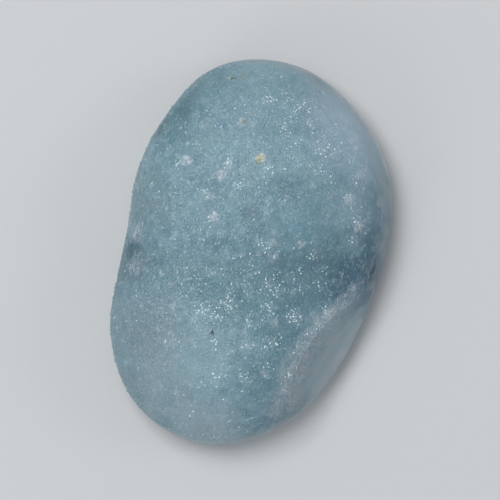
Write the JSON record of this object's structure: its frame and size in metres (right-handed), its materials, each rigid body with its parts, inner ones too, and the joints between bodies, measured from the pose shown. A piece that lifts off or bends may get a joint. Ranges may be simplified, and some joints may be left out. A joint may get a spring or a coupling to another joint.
{
  "type": "hemimorphite druse",
  "caption": "Loose oval piece of pale blue botryoidal druse, crystal-crusted and two-lobed above, sides ground smooth, sawn flat behind to rest on.",
  "frame": {"origin": "middle of the stone's box, on the sawn back that it rests on", "axes": "+Z out of the crystal face, +X along the stone's length towards the broader lobe, +Y towards the side with the natural notch"},
  "size_m": [0.017, 0.0116, 0.0059],
  "materials": {
    "hemimorphite": "satin"
  },
  "bodies": {
    "root": {"hemimorphite_druse": "hemimorphite"}
  },
  "joints": []
}
